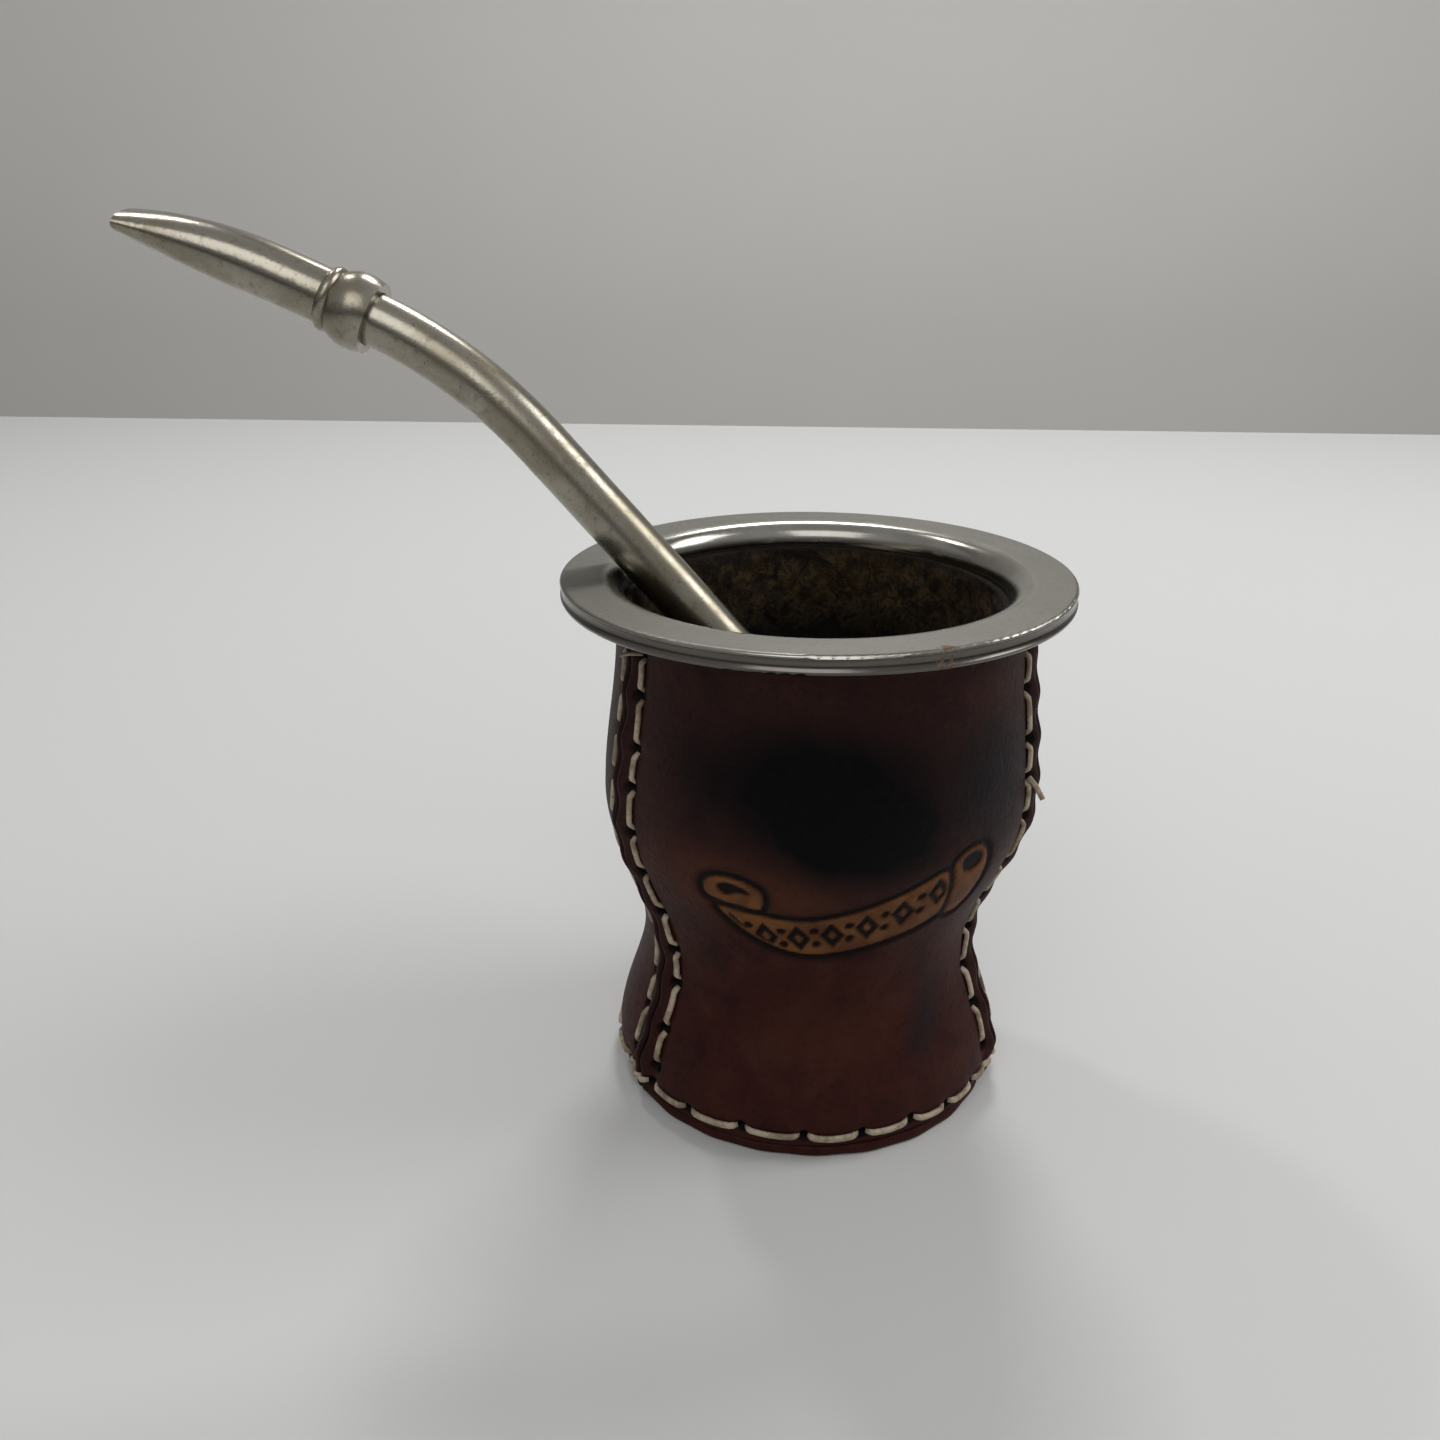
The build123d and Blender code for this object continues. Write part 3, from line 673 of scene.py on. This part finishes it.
def make_threads(material):
    """Both stitch rows of each seam, two loose ends, and the hem."""
    sides = {-1: "low", 1: "high"}
    for (seam, side), holes in ROWS.items():
        name = f"{seam}_{sides[side]}"
        extra = []
        if (seam, side) == ("left", 1):
            root = cover_point(holes[-1][0], holes[-1][1], 0.2)
            bends = [root + (-1.6, -0.8, 0.3), root + (-3.2, -1.0, 0.1)]
            extra.append(thread_tail(root, bends, (0, 0, 1)))
        if (seam, side) == ("right", -1):
            root = cover_point(holes[7][0], holes[7][1], 0.3)
            bends = [root + (1.2, -0.2, -1.4), root + (2.4, -0.1, -3.6)]
            extra.append(thread_tail(root, bends, (0, -1, 0)))
        make_thread("stitches_" + name, holes, material, "thread_" + name, 0.0, extra)
    make_thread("stitches_hem", HEM_ROW, material, "thread_hem", -0.3, closed=True)


def make_sole(material):
    """Leather disc under the foot, its edge a little uneven."""
    r = leather_r(SOLE_TOP) + 0.1
    outline = [(0, 0), (8, 0), (16, 0), (24, 0), (r - 1.2, 0), (r - 0.5, 0.06), (r - 0.12, 0.35),
               (r + 0.05, 0.8), (r + 0.1, 1.3), (r - 0.02, 1.75), (r - 0.3, SOLE_TOP),
               (24, SOLE_TOP), (12, SOLE_TOP), (0, SOLE_TOP)]

    def uneven(azimuth, z, radius):
        outer = smooth(radius, r - 3, r)
        return outer * (0.22 * wave(azimuth, z, 8) + 0.1 * np.sin(np.radians(azimuth) * 23))
    piece = lathe("leather_sole_disc", outline, material, 240, uneven, ["leather_sole"])
    store(piece, "edge", np.zeros(len(piece.data.vertices)))
    store(piece, "hole", np.zeros(len(piece.data.vertices)))
    return piece


def make_calabash(material):
    """The dried gourd: outer skin under the leather, thick wall, lumpy fibrous hollow."""
    def outer_r(z):
        return float(leather_r(z)) - CALABASH_IN

    def inner_r(z):
        wall = WALL if z < BELLY[0] else float(blend(z, (BELLY[0], WALL), (LIP_Z, LIP_WALL)))
        return outer_r(z) - wall
    outside = [(outer_r(z), z) for z in np.linspace(SOLE_TOP + 0.05, LIP_Z, 60)]
    inside = [(inner_r(z), z) for z in np.linspace(LIP_Z, HOLLOW_LOW_Z, 90)]
    low = inner_r(HOLLOW_LOW_Z)
    bowl = [(low * math.cos(t), HOLLOW_LOW_Z - (HOLLOW_LOW_Z - FLOOR_Z) * math.sin(t))
            for t in np.linspace(0.04, math.pi / 2 - 0.05, 40)]
    outline = [(0, SOLE_TOP + 0.05)] + outside + inside + bowl + [(0, FLOOR_Z)]

    def lumps(azimuth, z, radius):
        a = np.radians(azimuth)
        is_inner = (np.abs(radius - leather_r(z) + CALABASH_IN) > 0.6) & (z < LIP_Z - 0.6)
        ripple = 0.32 * wave(azimuth * 2, z * 2.5, 21)
        ripple = ripple + 0.18 * np.sin(9 * a + z * 0.5) + 0.16 * np.sin(17 * a - z * 0.9)
        return np.where(is_inner, ripple * smooth(radius, 2, 12) - 0.35, 0)
    return lathe("calabash_shell", outline, material, 288, lumps, ["gourd"])


def coat_node(node, material):
    """Give a CAD piece its finish."""
    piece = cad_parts[node]
    piece.data.materials.clear()
    piece.data.materials.append(material)


def make_object():
    """Every piece and every finish."""
    plain = leather_finish("leather_plain")
    tooled = leather_finish("leather_tooled", ribbon=True)
    for name, (first, last, wrap) in PANELS.items():
        make_panel(name, first, last, wrap, tooled if name == "front" else plain)
    make_sole(plain)
    make_threads(thread_finish())
    make_calabash(calabash_finish())
    coat_node("steel_rim", rim_finish())
    tube = straw_finish("straw_metal", 0.06)
    for node in ("straw_tube", "straw_strainer"):
        coat_node(node, tube)
    coat_node("straw_mouthpiece", straw_finish("straw_mouth_metal", 0.02))
    coat_node("straw_collar", straw_finish("straw_collar_metal", 0.04))


# ---------------------------------------------------------------- stage, light and camera
def stage_finish(name, colour):
    f = Finish(name, Roughness=0.9, Specular_IOR_Level=0.1)
    p = f.place()
    return f.give(Base_Color=f.mix(f.noise(p, 0.01, 2.0) * 0.1, colour, srgb(196, 196, 195)))


def make_stage():
    """Pale table with a far wall behind it."""
    half, back, wall_y, wall_low, wall_high = 3.0, 0.62, 1.1, -1.0, 3.0
    table = bpy.data.meshes.new("table")
    top = [(-half, -half, 0), (half, -half, 0), (half, back, 0), (-half, back, 0)]
    table.from_pydata(top, [], [(0, 1, 2, 3)])
    wall = bpy.data.meshes.new("wall")
    side = [(-half, wall_y, wall_low), (half, wall_y, wall_low),
            (half, wall_y, wall_high), (-half, wall_y, wall_high)]
    wall.from_pydata(side, [], [(0, 1, 2, 3)])
    for name, mesh, colour in (("table", table, srgb(199, 199, 198)), ("wall", wall, srgb(244, 242, 237))):
        mesh.materials.append(stage_finish(name, colour))
        piece = bpy.data.objects.new(name, mesh)
        bpy.context.collection.objects.link(piece)


def make_light(name, place, target, size, power):
    """A rectangular lamp at place that faces target."""
    lamp = bpy.data.lights.new(name, "AREA")
    lamp.shape = "RECTANGLE"
    lamp.size, lamp.size_y = size
    lamp.energy = power
    holder = bpy.data.objects.new(name, lamp)
    holder.location = place
    holder.rotation_euler = (Vector(target) - Vector(place)).to_track_quat("-Z", "Y").to_euler()
    bpy.context.collection.objects.link(holder)


def make_room():
    """World light that is dim at the horizon and bright overhead; the camera sees it as a pale wall."""
    horizon, overhead, seen_as = (0.08, 0.08, 0.08, 1), (0.8, 0.8, 0.8, 1), (0.8, 0.8, 0.79, 1)
    world = bpy.data.worlds.new("soft_room")
    bpy.context.scene.world = world
    world.use_nodes = True
    tree = world.node_tree
    background = tree.nodes["Background"]
    direction = tree.nodes.new("ShaderNodeTexCoord")
    split = tree.nodes.new("ShaderNodeSeparateXYZ")
    ramp = tree.nodes.new("ShaderNodeValToRGB")
    low, high = ramp.color_ramp.elements
    low.position, high.position = 0.0, 0.45
    low.color, high.color = horizon, overhead
    path = tree.nodes.new("ShaderNodeLightPath")
    pale = tree.nodes.new("ShaderNodeMix")
    pale.data_type = "RGBA"
    pale.inputs[7].default_value = seen_as
    tree.links.new(direction.outputs["Generated"], split.inputs[0])
    tree.links.new(split.outputs["Z"], ramp.inputs[0])
    tree.links.new(path.outputs["Is Camera Ray"], pale.inputs[0])
    tree.links.new(ramp.outputs["Color"], pale.inputs[6])
    tree.links.new(pale.outputs[2], background.inputs["Color"])
    background.inputs["Strength"].default_value = 0.55


def make_lights():
    make_light("window", (0.05, 0.6, 0.8), (0, 0, 0.05), (0.22, 0.14), 3.4)
    make_light("ceiling_left", (-0.35, 0.45, 0.8), (0, 0, 0.05), (0.07, 0.07), 1.0)
    make_light("room", (0.75, 0.1, 0.7), (0, 0, 0.04), (0.5, 0.5), 3.6)
    make_light("front_fill", (-0.1, -0.9, 0.9), (0, 0, 0.04), (0.8, 0.8), 3.6)


def make_camera():
    """Hand-held view from the front and above."""
    data = bpy.data.cameras.new("camera")
    data.sensor_width = 36.0
    data.lens = 34.675
    camera = bpy.data.objects.new("camera", data)
    place = (0, -0.2103, 0.1468)
    yaw, pitch = 0.072, 0.3837
    ahead = Vector((-math.sin(yaw) * math.cos(pitch), math.cos(yaw) * math.cos(pitch), -math.sin(pitch)))
    right = Vector((math.cos(yaw), math.sin(yaw), 0))
    up = right.cross(ahead)
    turn = Matrix((right, up, -ahead)).transposed()
    camera.matrix_world = Matrix.Translation(place) @ turn.to_4x4()
    bpy.context.collection.objects.link(camera)
    bpy.context.scene.camera = camera


make_camera()
make_stage()
make_room()
make_lights()
make_object()
bpy.context.scene.view_settings.view_transform = "Standard"
